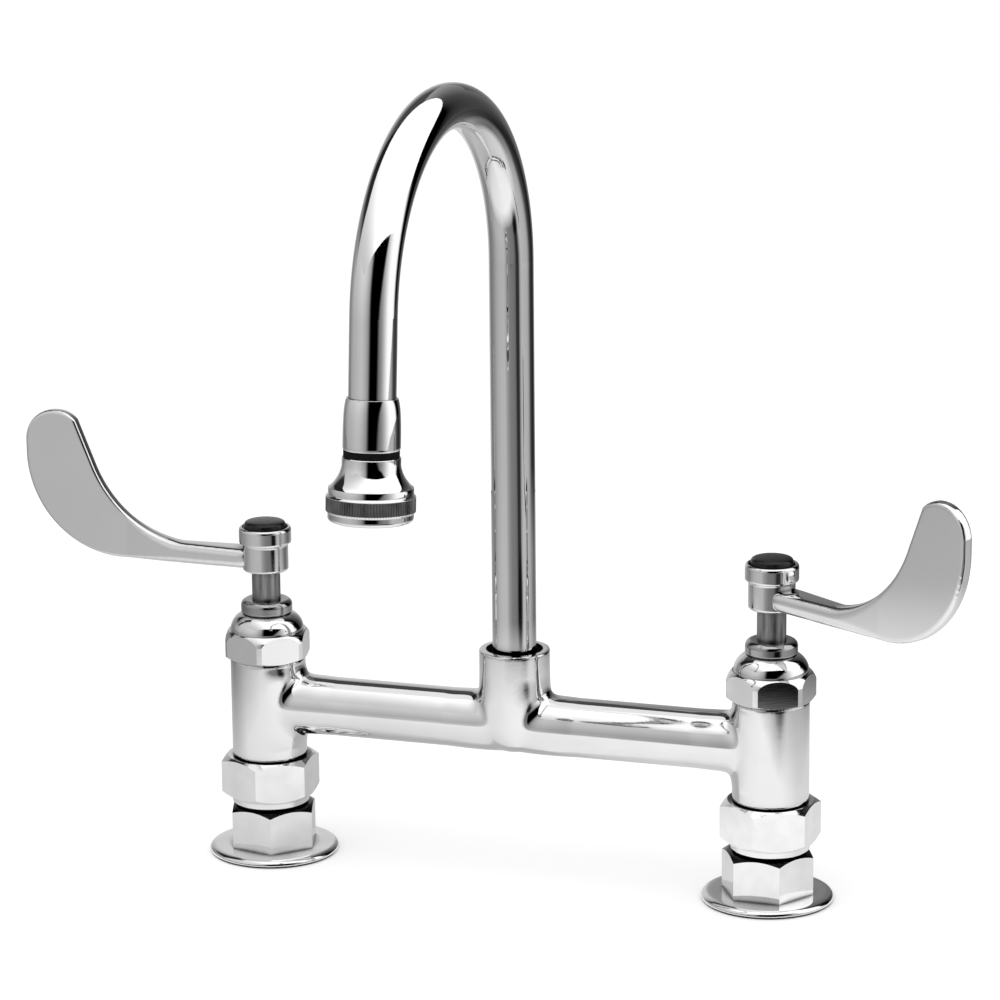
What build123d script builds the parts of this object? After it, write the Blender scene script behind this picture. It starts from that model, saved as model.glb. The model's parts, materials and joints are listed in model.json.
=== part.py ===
from build123d import *
import os
from math import cos, radians, sin, sqrt, tan

os.makedirs("parts", exist_ok=True)

# Deck faucet with two valves on a bridge, a swivelling gooseneck and a rose outlet.
# Millimetres.  The origin lies on the deck, midway between the two inlets.
# +X runs along the bridge towards the cold valve, -Y points at the user, +Z is up.

# ---------------------------------------------------------------- general fits
running_fit = 0.06          # radial play of a part that turns or slides
screwed_fit = 0.05          # radial play between threaded or pushed-in parts
bottom_gap = 0.2            # left under the end of a pin, screw or spigot in its hole

# ---------------------------------------------------------------- inlets
inlet_offset = 1.0              # an inlet is eccentric to its column by this much
flange_radius = 25.4
flange_thickness = 3.0
flange_edge_radius = 0.9
inlet_hex_flats = 31.3
inlet_hex_height = 16.6
inlet_hex_face_radius = 15.0    # flat ring left on top by the corner chamfer
inlet_thread_radius = 9.9       # female pipe thread, taken at its pitch line
inlet_thread_depth = 14.0
waterway_radius = 7.8
neck_radius = 13.3
union_washer_thickness = 2.0
union_washer_play = 0.4         # radial, inside the nut and round the waterway
tail_play = 0.1                 # the tail's flange is this much slimmer than the neck
tail_flange_thickness = 3.3
union_ledge = 1.4               # width of the flange that the nut pulls down
spigot_step = 1.2
tail_spigot_length = 10.2
nut_flats = 34.0
nut_height = 19.1
nut_gap = 0.9                   # between the inlet's hexagon and the nut above it
nut_skirt_height = 3.4
nut_skirt_radius = 15.1
nut_skirt_edge_radius = 0.5
nut_top_gap = 0.3               # between the nut and the column above it
nut_shoulder = 3.0
nut_face_radius = 16.4
hex_chamfer_slope = 0.62        # rise over run of the turned hexagon corners

# ---------------------------------------------------------------- bridge body
valve_spacing = 203.2       # between the two valve axes
column_radius = 14.65
column_height = 39.35
column_wall = 2.9
bar_radius = 11.4
bar_rise = 21.3             # axis of the bar above the columns' lower ends
bar_bore_radius = 7.6
boss_wall = 3.0
boss_height = 29.6          # top of the boss above the axis of the bar
swivel_step_rise = 5.3      # the swivel stands on a step this far above that axis
cast_fillet = 4.5           # where the bar runs into a column or the boss
boss_edge_radius = 1.6
seat_web_thickness = 3.7    # web across a column that holds the seat

# ---------------------------------------------------------------- valves
bonnet_flats = 30.6
bonnet_corner_radius = 17.1
bonnet_hex_height = 11.4
bonnet_hex_face_radius = 14.9
bonnet_skirt_length = 13.2
bonnet_foot_slope = 0.6         # rise over run under the hexagon's corners
bonnet_crown_slope = 1.6        # fall over run of the rounded corners on top
bonnet_crown_bulge = 1.35
dome_base_radius = 14.3
dome_top_radius = 9.4
dome_height = 6.75
dome_bulge = 1.2
guide_depth = 6.0               # guide pocket inside the bonnet's skirt
guide_clearance = 0.45          # above the disc holder at full lift
seat_bore_radius = 4.9
seat_lip_width = 1.7
seat_lip_height = 2.0
seat_thread_step = 1.4
seat_flange_width = 1.6
seat_flange_thickness = 0.8
seat_washer_overlap = 1.0       # the washer reaches this far past the seat's lip
seat_washer_thickness = 2.8
holder_cup_wall = 1.35
holder_cup_depth = 1.2
holder_flat_wall = 0.15         # left round the washer at the two guide flats
holder_web = 0.8                # between the washer screw and the spindle's pin
washer_screw_radius = 2.1
washer_screw_depth = 2.4        # in the disc holder
washer_head_radius = 3.7
washer_head_height = 1.3
pin_radius = 4.5                # lower end of the spindle, in the holder
stem_thread_radius = 6.9
thread_clearance = 0.8          # above the stem's thread at full lift
stem_radius = 5.56
stem_showing = 11.5             # bare stem between the packing nut and the handle
square_size = 6.9
square_length = 9.4
packing_depth = 10.0            # stuffing box below the top of the dome
packing_web = 2.0               # metal between the stem's thread and the packing
packing_height = 4.6
gland_thickness = 1.2
packing_nut_radius = 10.0
packing_nut_height = 5.4
packing_nut_thread = 8.6
packing_nut_round = 2.3
packing_nut_edge = 0.9
lift_height = 1.6                 # rise of a spindle over its quarter turn
quarter_turn = 90.0             # from shut to full flow, in degrees
cold_turn = 31.8                # the cold valve stands this far open

# ---------------------------------------------------------------- handles
button_radius = 8.6
button_thickness = 2.6
button_dome_height = 2.9
hub_ring_wall = 1.6             # round the button
hub_ring_height = 6.5
hub_ring_step = 1.3             # the ring stands this far proud of the hub
hub_ring_chamfer = 0.5
hub_foot_chamfer = 0.8
hub_top_chamfer = 1.1
hub_web = 2.0                   # metal between the stem's square and the recess
hub_recess_depth = 6.0
handle_screw_radius = 1.75
handle_head_radius = 3.4
handle_head_height = 2.2
handle_slot_width = 0.8
handle_slot_depth = 0.9
handle_screw_length = 10.4
arm_base_rise = 1.7             # underside of the arm above the stem's shoulder
arm_slope = 1.16                # the underside falls towards the heel, in degrees
arm_depth = 6.4                 # height of the arm where it leaves the hub
arm_half_width = 6.4            # at the hub
blade_half_thickness = 2.3
taper_length = 58.0             # from the hub's axis to where the taper ends
blade_reach = 100.6             # from the hub's axis to the blade's far edge
heel_radius = 40.0              # outer bend under the blade
throat_radius = 47.0            # inner bend above the arm
throat_slope = 9.5              # the throat starts at this slope, in degrees
throat_turn = 60.0
blade_straight = 5.0            # upright stretch between the heel and the tip
tip_radius = 12.5
inner_edge_lean = 6.8           # run of the inner edge from the throat to the tip
tip_fall = 3.4                  # the tip's inner corner is this much lower
tip_crown = 1.8
blade_tip_width = 21.5
blade_edge_radius = 1.2

# ---------------------------------------------------------------- gooseneck
tube_radius = 8.45
tube_wall = 1.2
riser_height = 151.7            # from the top of the boss to the start of the bend
bend_radius = 67.8
bend_angle = 175.4
spout_direction = -92.6         # degrees from +X, seen from above
leg_length = 44.0               # straight end of the tube
ferrule_wall = 2.04
swivel_end_gap = 0.1            # below and above the ferrule
ring_depth = 3.8                # the retaining ring's groove below the boss's top
ring_groove_depth = 0.7
ring_mouth = 3.0                # gap in the split ring
ring_play = 0.5                 # between the ring and the tube
retaining_ring_thickness = 1.2
oring_section = 0.68            # radius of the cord
oring_side_gap = 0.2
oring_floor_gap = 0.05
oring_bore_gap = 0.03
oring_spacing = 6.0
lower_groove_rise = 5.0

# ---------------------------------------------------------------- outlet
# These run down the leg.
collar_length = 18.0
collar_overhang = 2.3           # past the end of the tube
collar_mouth_wall = 0.3
collar_wall = 1.6
collar_flare_length = 4.2
collar_flare_step = 0.35
collar_cone_length = 3.8
collar_spigot_length = 7.8
collar_spigot_wall = 0.45
outlet_seal_thickness = 2.8
outlet_seal_width = 0.95
rose_neck_wall = 1.35
rose_neck_length = 3.2
rose_flare_length = 7.6
rose_flare_bulge = 1.35
rose_shoulder_step = 0.95       # the shoulder is this much slimmer than the band
rose_shoulder_length = 3.2
rose_band_radius = 15.85
rose_band_length = 5.2
rose_groove_depth = 0.5         # fine grooves above and below the band
rose_groove_width = 0.35
rose_groove_flank = 0.25
rose_lip_length = 3.8
rose_lip_step = 2.45
rose_lip_round = 1.1
rose_chamber_step = 3.25
rose_chamber_roof = 1.4         # the chamber starts this far below the shoulder
rose_throat_length = 1.2
spray_plate_step = 2.85
spray_plate_thickness = 1.6
spray_plate_recess = 0.7
spray_hole_radius = 0.65
spray_rings = 3
spray_margin = 2.8              # outside the outermost ring of holes
strainer_thickness = 0.8
strainer_hole_radius = 0.75
strainer_ring_pitch = 2.4

# ---------------------------------------------------------------- derived sizes
# Heights, from the deck up.
inlet_hex_top = flange_thickness + inlet_hex_height
nut_base_height = inlet_hex_top + nut_gap
nut_top = nut_base_height + nut_height
nut_shoulder_base = nut_top - nut_shoulder
tail_base = nut_shoulder_base - tail_flange_thickness
neck_top = tail_base - union_washer_thickness
column_base_height = nut_top + nut_top_gap
column_top_height = column_base_height + column_height
bar_axis_height = column_base_height + bar_rise
boss_top_height = bar_axis_height + boss_height
boss_step_height = bar_axis_height + swivel_step_rise
seat_web_base = column_base_height + tail_spigot_length + bottom_gap
seat_web_top = seat_web_base + seat_web_thickness
seat_face = seat_web_top + seat_lip_height
holder_base = seat_face + seat_washer_thickness
pin_base = holder_base + washer_screw_depth + bottom_gap + holder_web + bottom_gap
bonnet_hex_top = column_top_height + bonnet_hex_height
guide_top = column_top_height - bonnet_skirt_length + guide_depth
holder_top_height = guide_top - lift_height - guide_clearance
dome_top_height = bonnet_hex_top + dome_height
packing_base_height = dome_top_height - packing_depth
packing_top = packing_base_height + packing_height
gland_top = packing_top + gland_thickness
thread_chamber_top = packing_base_height - packing_web
thread_top = thread_chamber_top - thread_clearance - lift_height
stem_top_height = dome_top_height + packing_nut_height + stem_showing
hub_recess_floor = stem_top_height + square_length + bottom_gap + hub_web
hub_top_height = hub_recess_floor + hub_recess_depth
hub_ring_base = hub_top_height - hub_ring_height
arm_base_height = stem_top_height + arm_base_rise
arm_top_height = arm_base_height + arm_depth
heel_start = blade_reach - heel_radius * (1 + sin(radians(arm_slope)))
heel_start_height = arm_base_height - heel_start * tan(radians(arm_slope))
heel_end_height = heel_start_height + heel_radius * cos(radians(arm_slope))
blade_tip_height = heel_end_height + blade_straight + tip_radius
tip_inner = blade_reach - blade_tip_width
throat_run = sin(radians(throat_slope + throat_turn)) - sin(radians(throat_slope))
arm_flat_length = tip_inner - inner_edge_lean - throat_radius * throat_run
spring_height = boss_top_height + riser_height
tube_foot = boss_step_height + swivel_end_gap
ring_base = boss_top_height - ring_depth
ferrule_length = ring_base - swivel_end_gap - tube_foot
# Radii, each from the piece inside it.
tail_flange_radius = neck_radius - tail_play
tail_neck_radius = tail_flange_radius - union_ledge
tail_spigot_radius = tail_neck_radius - spigot_step
chamber_radius = column_radius - column_wall
seat_lip_radius = seat_bore_radius + seat_lip_width
seat_hole_radius = seat_lip_radius + seat_thread_step
seat_flange_radius = seat_hole_radius + seat_flange_width
seat_washer_radius = seat_lip_radius + seat_washer_overlap
holder_radius = seat_washer_radius + screwed_fit + holder_cup_wall
holder_flat = seat_washer_radius + screwed_fit + holder_flat_wall
stem_bore = stem_radius + running_fit
hub_ring_radius = button_radius + hub_ring_wall
hub_radius = hub_ring_radius - hub_ring_step
tube_bore = tube_radius - tube_wall
tube_socket = tube_radius + screwed_fit
ferrule_radius = tube_socket + ferrule_wall
boss_bore_radius = ferrule_radius + running_fit
boss_radius = boss_bore_radius + boss_wall
collar_mouth_radius = tube_socket + collar_mouth_wall
collar_radius = tube_socket + collar_wall
collar_spigot_radius = tube_socket + collar_spigot_wall
spigot_socket = collar_spigot_radius + screwed_fit
outlet_seal_radius = collar_spigot_radius + outlet_seal_width
rose_neck_radius = spigot_socket + rose_neck_wall
rose_shoulder_radius = rose_band_radius - rose_shoulder_step
rose_lip_radius = rose_band_radius - rose_lip_step
spray_plate_radius = rose_band_radius - spray_plate_step
rose_chamber_radius = rose_band_radius - rose_chamber_step
# Distances down the leg of the gooseneck.
collar_end = leg_length + collar_overhang
collar_start = collar_end - collar_length
spigot_end = collar_end + collar_spigot_length
rose_top = collar_end + outlet_seal_thickness
flare_start = rose_top + rose_neck_length
shoulder = flare_start + rose_flare_length
band_top = shoulder + rose_shoulder_length
band_end = band_top + rose_band_length
rose_end = band_end + rose_lip_length
strainer_end = spigot_end + strainer_thickness
plate_seat = rose_end - spray_plate_recess - spray_plate_thickness
# The gooseneck's plane and its leg.
leg_start_out = bend_radius * (1 - cos(radians(bend_angle)))
leg_start_up = spring_height + bend_radius * sin(radians(bend_angle))
leg_tilt = 180 - bend_angle
spout_out = (cos(radians(spout_direction)), sin(radians(spout_direction)), 0)


def upright(x, rise=0):
    """Vertical drawing plane through a valve axis: first X, then Z."""
    return Plane(origin=(x, 0, rise), x_dir=(1, 0, 0), z_dir=(0, -1, 0))


def level(x, height, turn=0):
    """Horizontal drawing plane at a valve axis, turned about it."""
    return Plane(origin=(x, 0, height)).rotated((0, 0, turn))


# ================================================================ bridge body
# One casting: two valve columns, the cross bar and the boss of the gooseneck.
column_axis = valve_spacing / 2
with BuildPart() as bridge_body:
    with BuildSketch(Plane.XY.offset(column_base_height)):
        with Locations((-column_axis, 0), (column_axis, 0)):
            Circle(column_radius)
    extrude(amount=column_top_height - column_base_height)
    with BuildSketch(Plane.YZ):
        with Locations((0, bar_axis_height)):
            Circle(bar_radius)
    extrude(amount=column_axis, both=True)
    with BuildSketch(Plane.XY.offset(bar_axis_height - 2 * bar_radius)):
        Circle(boss_radius)
    extrude(amount=boss_height + 2 * bar_radius)
    # cast fillets round the four places where the bar meets an upright
    bar_joints = bridge_body.edges().filter_by(GeomType.BSPLINE)
    column_over_bar = column_top_height - bar_axis_height - bar_radius
    joint_fillet = min(cast_fillet, 0.9 * column_over_bar)
    fillet(bar_joints, joint_fillet)
    # the boss is closed below by an oval that is flush with the bar
    with BuildSketch(Plane.YZ) as boss_under:
        with Locations((0, bar_axis_height - 1.5 * bar_radius)):
            Rectangle(4 * boss_radius, 3 * bar_radius)
        with Locations((0, bar_axis_height)):
            Ellipse(boss_radius + screwed_fit, bar_radius, mode=Mode.SUBTRACT)
    extrude(amount=boss_radius + 2 * joint_fillet, both=True, mode=Mode.SUBTRACT)
    boss_rim = bridge_body.faces().filter_by(Axis.Z).sort_by(Axis.Z)[-1].edges()
    fillet(boss_rim, boss_edge_radius)
    # waterways
    with BuildSketch(Plane.YZ):
        with Locations((0, bar_axis_height)):
            Circle(bar_bore_radius)
    extrude(amount=column_axis, both=True, mode=Mode.SUBTRACT)
    with BuildSketch(Plane.XY.offset(seat_web_top)):
        with Locations((-column_axis, 0), (column_axis, 0)):
            Circle(chamber_radius)
    extrude(amount=column_top_height - seat_web_top, mode=Mode.SUBTRACT)
    with BuildSketch(Plane.XY.offset(column_base_height)):
        with Locations((-column_axis, 0), (column_axis, 0)):
            Circle(tail_spigot_radius + screwed_fit)
    extrude(amount=seat_web_base - column_base_height, mode=Mode.SUBTRACT)
    with BuildSketch(Plane.XY.offset(seat_web_base)):
        with Locations((-column_axis, 0), (column_axis, 0)):
            Circle(seat_hole_radius + screwed_fit)
    extrude(amount=seat_web_thickness, mode=Mode.SUBTRACT)
    # swivel bore, its groove for the retaining ring and the way down to the bar
    with BuildSketch(Plane.XY.offset(boss_step_height)):
        Circle(boss_bore_radius)
    extrude(amount=boss_top_height - boss_step_height, mode=Mode.SUBTRACT)
    with BuildSketch(Plane.XY.offset(bar_axis_height)):
        Circle(bar_bore_radius)
    extrude(amount=boss_step_height - bar_axis_height, mode=Mode.SUBTRACT)
    with BuildSketch(Plane.XY.offset(ring_base)):
        Circle(boss_bore_radius + ring_groove_depth)
    extrude(amount=retaining_ring_thickness, mode=Mode.SUBTRACT)
bridge_body.part.label = "bridge_body"
export_step(bridge_body.part, "parts/bridge_body.step")

# ================================================================ the two valves
# Turns are in degrees: of a hexagon's first corner from -Y towards +X, and of an arm from +X.
valves = {
    "hot": {"x": -column_axis, "inward": 1, "inlet_hex": 16.5, "nut": 3.5, "bonnet": 10.0,
            "arm": 178.5, "opened": 0.0},
    "cold": {"x": column_axis, "inward": -1, "inlet_hex": 29.1, "nut": -4.2, "bonnet": -6.0,
             "arm": -cold_turn, "opened": cold_turn},
}

for side, valve in valves.items():
    x = valve["x"]
    rise = lift_height * valve["opened"] / quarter_turn
    inlet_x = x + valve["inward"] * inlet_offset
    valve_axis = Axis((x, 0, 0), (0, 0, 1))
    inlet_axis = Axis((inlet_x, 0, 0), (0, 0, 1))

    # Inlet: deck flange, hexagon and threaded neck in one turned piece.
    inlet_corner = inlet_hex_flats / sqrt(3)
    inlet_chamfer = (inlet_corner - inlet_hex_face_radius) * hex_chamfer_slope
    with BuildPart() as inlet_fitting:
        with BuildSketch(upright(inlet_x)):
            with BuildLine():
                Polyline(
                    (0, flange_thickness),
                    (inlet_corner, flange_thickness),
                    (inlet_corner, inlet_hex_top - inlet_chamfer),
                    (inlet_hex_face_radius, inlet_hex_top),
                    (0, inlet_hex_top),
                    close=True,
                )
            make_face()
        revolve(axis=inlet_axis)
        with BuildSketch(level(inlet_x, flange_thickness)):
            RegularPolygon(
                inlet_hex_flats / 2, 6, major_radius=False, rotation=valve["inlet_hex"] - 90
            )
        extrude(amount=inlet_hex_top - flange_thickness, mode=Mode.INTERSECT)
        with BuildSketch(level(inlet_x, 0)):
            Circle(flange_radius)
        flange = extrude(amount=flange_thickness)
        flange_rims = inlet_fitting.edges().filter_by(GeomType.CIRCLE).sort_by(SortBy.RADIUS)
        fillet(flange_rims[-2:], flange_edge_radius)
        with BuildSketch(level(x, inlet_hex_top)):
            Circle(neck_radius)
        extrude(amount=neck_top - inlet_hex_top)
        with BuildSketch(level(inlet_x, 0)):
            Circle(inlet_thread_radius)
        extrude(amount=inlet_thread_depth, mode=Mode.SUBTRACT)
        with BuildSketch(level(x, inlet_thread_depth)):
            Circle(waterway_radius)
        extrude(amount=neck_top - inlet_thread_depth, mode=Mode.SUBTRACT)
    inlet_fitting.part.label = side + "_inlet_fitting"
    export_step(inlet_fitting.part, "parts/" + side + "_inlet_fitting.step")

    with BuildPart() as union_washer:
        with BuildSketch(level(x, neck_top)):
            Circle(neck_radius - union_washer_play)
            Circle(waterway_radius + union_washer_play, mode=Mode.SUBTRACT)
        extrude(amount=union_washer_thickness)
    union_washer.part.label = side + "_union_washer"
    export_step(union_washer.part, "parts/" + side + "_union_washer.step")

    # Flanged tail that the coupling nut pulls down on the washer.
    with BuildPart() as union_tail:
        with BuildSketch(upright(x)):
            with BuildLine():
                Polyline(
                    (waterway_radius, tail_base),
                    (tail_flange_radius, tail_base),
                    (tail_flange_radius, nut_shoulder_base),
                    (tail_neck_radius, nut_shoulder_base),
                    (tail_neck_radius, column_base_height),
                    (tail_spigot_radius, column_base_height),
                    (tail_spigot_radius, column_base_height + tail_spigot_length),
                    (waterway_radius, column_base_height + tail_spigot_length),
                    close=True,
                )
            make_face()
        revolve(axis=valve_axis)
    union_tail.part.label = side + "_union_tail"
    export_step(union_tail.part, "parts/" + side + "_union_tail.step")

    # Coupling nut: hexagon with turned corners over a short round skirt.
    nut_corner = nut_flats / sqrt(3)
    nut_chamfer = (nut_corner - nut_face_radius) * hex_chamfer_slope
    nut_hex_base = nut_base_height + nut_skirt_height
    nut_lower_chamfer = (nut_corner - nut_skirt_radius) * hex_chamfer_slope
    nut_foot = nut_hex_base - 0.4 * nut_lower_chamfer
    with BuildPart() as coupling_nut:
        with BuildSketch(upright(x)):
            with BuildLine():
                Polyline(
                    (0, nut_foot),
                    (nut_skirt_radius, nut_foot),
                    (nut_corner, nut_foot + nut_lower_chamfer),
                    (nut_corner, nut_top - nut_chamfer),
                    (nut_face_radius, nut_top),
                    (0, nut_top),
                    close=True,
                )
            make_face()
        revolve(axis=valve_axis)
        with BuildSketch(level(x, nut_base_height)):
            RegularPolygon(nut_flats / 2, 6, major_radius=False, rotation=valve["nut"] - 90)
        extrude(amount=nut_height, mode=Mode.INTERSECT)
        with BuildSketch(level(x, nut_base_height)):
            Circle(nut_skirt_radius)
        extrude(amount=nut_skirt_height)
        skirt_rim = coupling_nut.edges().filter_by(GeomType.CIRCLE).sort_by(Axis.Z)[0]
        fillet(skirt_rim, nut_skirt_edge_radius)
        with BuildSketch(level(x, nut_base_height)):
            Circle(neck_radius + screwed_fit)
        extrude(amount=nut_shoulder_base - nut_base_height, mode=Mode.SUBTRACT)
        with BuildSketch(level(x, nut_shoulder_base)):
            Circle(tail_neck_radius + screwed_fit)
        extrude(amount=nut_shoulder, mode=Mode.SUBTRACT)
    coupling_nut.part.label = side + "_coupling_nut"
    export_step(coupling_nut.part, "parts/" + side + "_coupling_nut.step")

    # Renewable seat, screwed into the web of the column.
    with BuildPart() as valve_seat:
        with BuildSketch(upright(x)):
            with BuildLine():
                Polyline(
                    (seat_bore_radius, seat_web_base),
                    (seat_hole_radius, seat_web_base),
                    (seat_hole_radius, seat_web_top),
                    (seat_flange_radius, seat_web_top),
                    (seat_flange_radius, seat_web_top + seat_flange_thickness),
                    (seat_lip_radius, seat_web_top + seat_flange_thickness),
                    (seat_lip_radius, seat_face),
                    (seat_bore_radius, seat_face),
                    close=True,
                )
            make_face()
        revolve(axis=valve_axis)
    valve_seat.part.label = side + "_valve_seat"
    export_step(valve_seat.part, "parts/" + side + "_valve_seat.step")

    with BuildPart() as seat_washer:
        with BuildSketch(level(x, seat_face + rise)):
            Circle(seat_washer_radius)
            Circle(washer_screw_radius + screwed_fit, mode=Mode.SUBTRACT)
        extrude(amount=seat_washer_thickness)
    seat_washer.part.label = side + "_seat_washer"
    export_step(seat_washer.part, "parts/" + side + "_seat_washer.step")

    with BuildPart() as washer_screw:
        with BuildSketch(level(x, seat_face + rise)):
            Circle(washer_head_radius)
        extrude(amount=-washer_head_height)
        with BuildSketch(level(x, seat_face + rise)):
            Circle(washer_screw_radius)
        extrude(amount=seat_washer_thickness + washer_screw_depth)
    washer_screw.part.label = side + "_washer_screw"
    export_step(washer_screw.part, "parts/" + side + "_washer_screw.step")

    # Disc holder: cupped round the washer, with two flats that keep it from turning.
    with BuildPart() as disc_holder:
        with BuildSketch(level(x, holder_base - holder_cup_depth + rise)):
            Circle(holder_radius)
            Rectangle(2 * holder_radius, 2 * holder_flat, mode=Mode.INTERSECT)
        extrude(amount=holder_top_height - holder_base + holder_cup_depth)
        with BuildSketch(level(x, holder_base + rise)):
            Circle(seat_washer_radius + screwed_fit)
        extrude(amount=-holder_cup_depth, mode=Mode.SUBTRACT)
        with BuildSketch(level(x, holder_base + rise)):
            Circle(washer_screw_radius + screwed_fit)
        extrude(amount=washer_screw_depth + bottom_gap, mode=Mode.SUBTRACT)
        with BuildSketch(level(x, pin_base - bottom_gap + rise)):
            Circle(pin_radius + running_fit)
        extrude(amount=holder_top_height - pin_base + bottom_gap, mode=Mode.SUBTRACT)
    disc_holder.part.label = side + "_disc_holder"
    export_step(disc_holder.part, "parts/" + side + "_disc_holder.step")

    # Bonnet: hexagon with domed top, threaded skirt below, stuffing box inside.
    bonnet_crown = (bonnet_corner_radius - bonnet_hex_face_radius) * bonnet_crown_slope
    bonnet_foot = (bonnet_corner_radius - column_radius) * bonnet_foot_slope
    with BuildPart() as bonnet:
        with BuildSketch(upright(x)):
            with BuildLine():
                Polyline(
                    (0, column_top_height),
                    (column_radius, column_top_height),
                    (bonnet_corner_radius, column_top_height + bonnet_foot),
                    (bonnet_corner_radius, bonnet_hex_top - bonnet_crown),
                )
                ThreePointArc(
                    (bonnet_corner_radius, bonnet_hex_top - bonnet_crown),
                    (
                        bonnet_hex_face_radius + bonnet_crown_bulge,
                        bonnet_hex_top - 0.42 * bonnet_crown,
                    ),
                    (bonnet_hex_face_radius, bonnet_hex_top),
                )
                Polyline(
                    (bonnet_hex_face_radius, bonnet_hex_top),
                    (0, bonnet_hex_top),
                    (0, column_top_height),
                )
            make_face()
        revolve(axis=valve_axis)
        with BuildSketch(level(x, column_top_height)):
            RegularPolygon(bonnet_flats / 2, 6, major_radius=False, rotation=valve["bonnet"] - 90)
        extrude(amount=bonnet_hex_height, mode=Mode.INTERSECT)
        with BuildSketch(upright(x)):
            with BuildLine():
                Line((0, bonnet_hex_top), (dome_base_radius, bonnet_hex_top))
                ThreePointArc(
                    (dome_base_radius, bonnet_hex_top),
                    (
                        (dome_base_radius + dome_top_radius) / 2 + dome_bulge,
                        (bonnet_hex_top + dome_top_height + dome_bulge) / 2,
                    ),
                    (dome_top_radius, dome_top_height),
                )
                Polyline(
                    (dome_top_radius, dome_top_height),
                    (0, dome_top_height),
                    (0, bonnet_hex_top),
                )
            make_face()
        revolve(axis=valve_axis)
        with BuildSketch(level(x, column_top_height)):
            Circle(chamber_radius - screwed_fit)
        extrude(amount=-bonnet_skirt_length)
        # guide pocket for the disc holder
        with BuildSketch(level(x, column_top_height - bonnet_skirt_length)):
            Circle(holder_radius + running_fit)
            Rectangle(
                2 * (holder_radius + running_fit),
                2 * (holder_flat + running_fit),
                mode=Mode.INTERSECT,
            )
        extrude(amount=guide_depth, mode=Mode.SUBTRACT)
        with BuildSketch(level(x, guide_top)):
            Circle(stem_thread_radius + running_fit)
        extrude(amount=thread_chamber_top - guide_top, mode=Mode.SUBTRACT)
        with BuildSketch(level(x, guide_top)):
            Circle(stem_bore)
        extrude(amount=dome_top_height - guide_top, mode=Mode.SUBTRACT)
        with BuildSketch(level(x, packing_base_height)):
            Circle(packing_nut_thread + screwed_fit)
        extrude(amount=dome_top_height - packing_base_height, mode=Mode.SUBTRACT)
    bonnet.part.label = side + "_bonnet"
    export_step(bonnet.part, "parts/" + side + "_bonnet.step")

    with BuildPart() as stem_packing:
        with BuildSketch(level(x, packing_base_height)):
            Circle(packing_nut_thread)
            Circle(stem_bore, mode=Mode.SUBTRACT)
        extrude(amount=packing_height)
    stem_packing.part.label = side + "_stem_packing"
    export_step(stem_packing.part, "parts/" + side + "_stem_packing.step")

    with BuildPart() as gland_washer:
        with BuildSketch(level(x, packing_top)):
            Circle(packing_nut_thread)
            Circle(stem_bore, mode=Mode.SUBTRACT)
        extrude(amount=gland_thickness)
    gland_washer.part.label = side + "_gland_washer"
    export_step(gland_washer.part, "parts/" + side + "_gland_washer.step")

    # Packing nut: a round ring over the dome, with its thread inside the bonnet.
    with BuildPart() as packing_nut:
        with BuildSketch(level(x, dome_top_height)):
            Circle(packing_nut_radius)
        extrude(amount=packing_nut_height)
        nut_rims = packing_nut.edges().filter_by(GeomType.CIRCLE).sort_by(Axis.Z)
        fillet(nut_rims[-1], packing_nut_round)
        fillet(nut_rims[0], packing_nut_edge)
        with BuildSketch(level(x, gland_top)):
            Circle(packing_nut_thread)
        extrude(amount=dome_top_height - gland_top)
        with BuildSketch(level(x, gland_top)):
            Circle(stem_bore)
        extrude(amount=dome_top_height + packing_nut_height - gland_top, mode=Mode.SUBTRACT)
    packing_nut.part.label = side + "_packing_nut"
    export_step(packing_nut.part, "parts/" + side + "_packing_nut.step")

    # Spindle: pin in the holder, thread in the bonnet, stem, square for the handle.
    with BuildPart() as spindle:
        with BuildSketch(level(x, pin_base + rise)):
            Circle(pin_radius)
        extrude(amount=holder_top_height - pin_base)
        with BuildSketch(level(x, holder_top_height + rise)):
            Circle(stem_thread_radius)
        extrude(amount=thread_top - holder_top_height)
        with BuildSketch(level(x, thread_top + rise)):
            Circle(stem_radius)
        extrude(amount=stem_top_height - thread_top)
        with BuildSketch(level(x, stem_top_height + rise, valve["arm"])):
            Rectangle(square_size, square_size)
        extrude(amount=square_length)
        with BuildSketch(level(x, stem_top_height + square_length + rise)):
            Circle(handle_screw_radius + screwed_fit)
        extrude(amount=-handle_screw_length, mode=Mode.SUBTRACT)
    spindle.part.label = side + "_spindle"
    export_step(spindle.part, "parts/" + side + "_spindle.step")

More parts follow.
